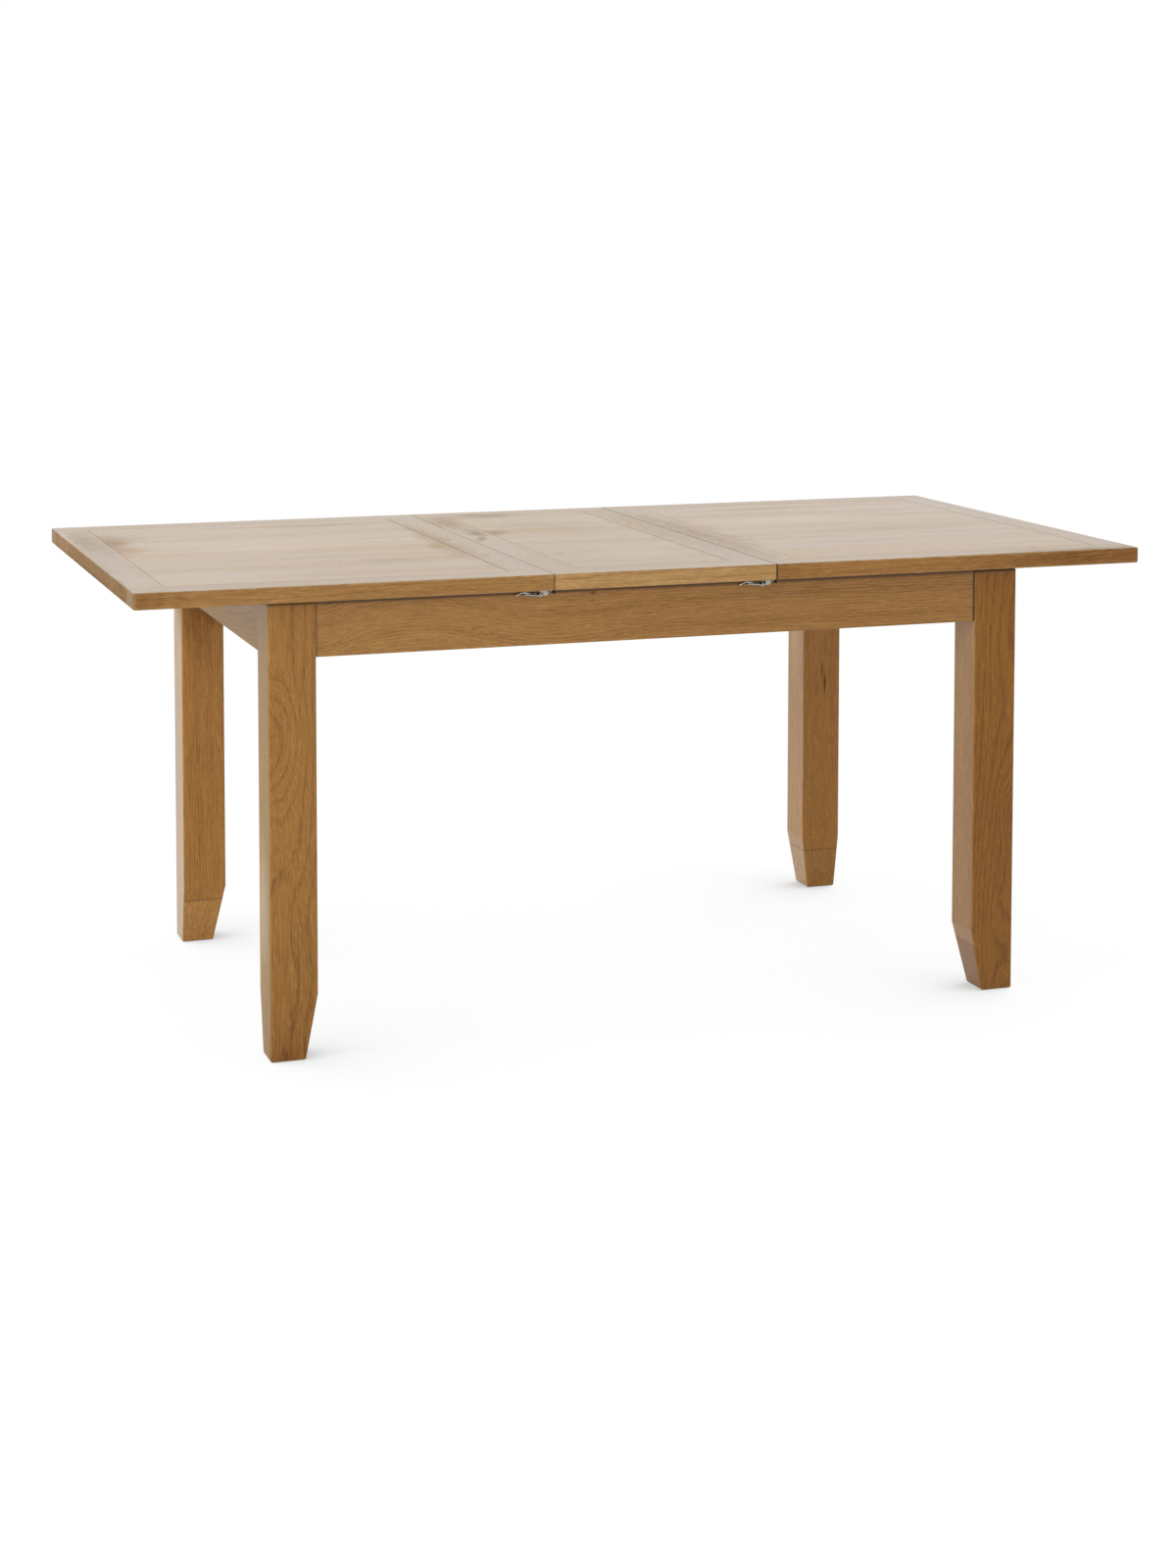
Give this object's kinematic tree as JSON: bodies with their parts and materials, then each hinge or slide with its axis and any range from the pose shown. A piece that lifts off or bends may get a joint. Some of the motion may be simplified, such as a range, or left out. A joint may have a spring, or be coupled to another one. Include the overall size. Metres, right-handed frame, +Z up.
{
  "type": "centre leaf extending table",
  "caption": "Wooden dining table whose two half tops slide apart for a loose centre leaf, held by toggle catches under the edges.",
  "frame": {"origin": "on the floor at the middle of the table", "axes": "+X along the length, +Y towards the back edge, +Z up"},
  "size_m": [1.8, 0.9, 0.79],
  "materials": {
    "oak_leg": "satin lacquer",
    "oak_apron": "satin lacquer",
    "oak_border": "satin lacquer",
    "oak_panel": "satin lacquer on oak veneer",
    "inner_wood": "planed, unlacquered",
    "nylon": "moulded nylon",
    "bright_metal": "bright nickel plate",
    "zinc_steel": "zinc plated"
  },
  "bodies": {
    "frame": {"apron_back": "oak_apron", "apron_front": "oak_apron", "apron_left": "oak_apron", "apron_right": "oak_apron", "bearer_left": "inner_wood", "bearer_right": "inner_wood", "corner_blocks": "inner_wood", "foot_glides": "nylon", "frame_screws": "zinc_steel", "glide_pads": "nylon", "hanger_bolts": "zinc_steel", "hanger_nuts": "zinc_steel", "hanger_washers": "zinc_steel", "inner_guide_back": "inner_wood", "inner_guide_front": "inner_wood", "leg_back_left": "oak_leg", "leg_back_right": "oak_leg", "leg_front_left": "oak_leg", "leg_front_right": "oak_leg", "outer_guide_back": "inner_wood", "outer_guide_front": "inner_wood"},
    "top_left": {"left_catch_pins": "bright_metal", "left_catch_plates": "bright_metal", "left_panel": "oak_panel", "left_rail_left": "oak_border", "left_rail_right": "oak_border", "left_runner_back": "inner_wood", "left_runner_front": "inner_wood", "left_screws": "zinc_steel", "left_stile_back": "oak_border", "left_stile_front": "oak_border", "left_stop_blocks": "inner_wood"},
    "top_right": {"right_panel": "oak_panel", "right_rail_left": "oak_border", "right_rail_right": "oak_border", "right_runner_back": "inner_wood", "right_runner_front": "inner_wood", "right_screws": "zinc_steel", "right_stile_back": "oak_border", "right_stile_front": "oak_border", "right_stop_blocks": "inner_wood", "right_strikes": "bright_metal"},
    "leaf": {"leaf_catch_pins": "bright_metal", "leaf_catch_plates": "bright_metal", "leaf_panel": "oak_panel", "leaf_rail_left": "oak_border", "leaf_rail_right": "oak_border", "leaf_screws": "zinc_steel", "leaf_stile_back": "oak_border", "leaf_stile_front": "oak_border", "leaf_strikes": "bright_metal"},
    "lever_left_front": {"lever_left_front": "bright_metal"},
    "loop_left_front": {"loop_left_front": "bright_metal"},
    "lever_left_back": {"lever_left_back": "bright_metal"},
    "loop_left_back": {"loop_left_back": "bright_metal"},
    "lever_right_front": {"lever_right_front": "bright_metal"},
    "loop_right_front": {"loop_right_front": "bright_metal"},
    "lever_right_back": {"lever_right_back": "bright_metal"},
    "loop_right_back": {"loop_right_back": "bright_metal"}
  },
  "joints": [
    {"name": "top_left_slide", "type": "slide", "parent": "frame", "child": "top_left", "axis": [-1, 0, 0], "range_m": [0, 0.03]},
    {"name": "top_right_slide", "type": "slide", "parent": "frame", "child": "top_right", "axis": [1, 0, 0], "range_m": [0, 0.03]},
    {"name": "leaf_lift", "type": "slide", "parent": "frame", "child": "leaf", "axis": [0, 0, 1], "range_m": [0, 0.25]},
    {"name": "lever_left_front_throw", "type": "hinge", "parent": "top_left", "child": "lever_left_front", "pos_m": [-0.212, -0.43, 0.758], "axis": [0, 1, 0], "range_deg": [-95, 0]},
    {"name": "loop_left_front_swing", "type": "hinge", "parent": "lever_left_front", "child": "loop_left_front", "pos_m": [-0.2205, -0.43, 0.7542], "axis": [0, -1, 0], "range_deg": [0, 194.72]},
    {"name": "lever_left_back_throw", "type": "hinge", "parent": "top_left", "child": "lever_left_back", "pos_m": [-0.212, 0.43, 0.758], "axis": [0, 1, 0], "range_deg": [-95, 0]},
    {"name": "loop_left_back_swing", "type": "hinge", "parent": "lever_left_back", "child": "loop_left_back", "pos_m": [-0.2205, 0.43, 0.7542], "axis": [0, -1, 0], "range_deg": [0, 194.72]},
    {"name": "lever_right_front_throw", "type": "hinge", "parent": "leaf", "child": "lever_right_front", "pos_m": [0.188, -0.43, 0.758], "axis": [0, 1, 0], "range_deg": [-95, 0]},
    {"name": "loop_right_front_swing", "type": "hinge", "parent": "lever_right_front", "child": "loop_right_front", "pos_m": [0.1795, -0.43, 0.7542], "axis": [0, -1, 0], "range_deg": [0, 194.72]},
    {"name": "lever_right_back_throw", "type": "hinge", "parent": "leaf", "child": "lever_right_back", "pos_m": [0.188, 0.43, 0.758], "axis": [0, 1, 0], "range_deg": [-95, 0]},
    {"name": "loop_right_back_swing", "type": "hinge", "parent": "lever_right_back", "child": "loop_right_back", "pos_m": [0.1795, 0.43, 0.7542], "axis": [0, -1, 0], "range_deg": [0, 194.72]}
  ]
}
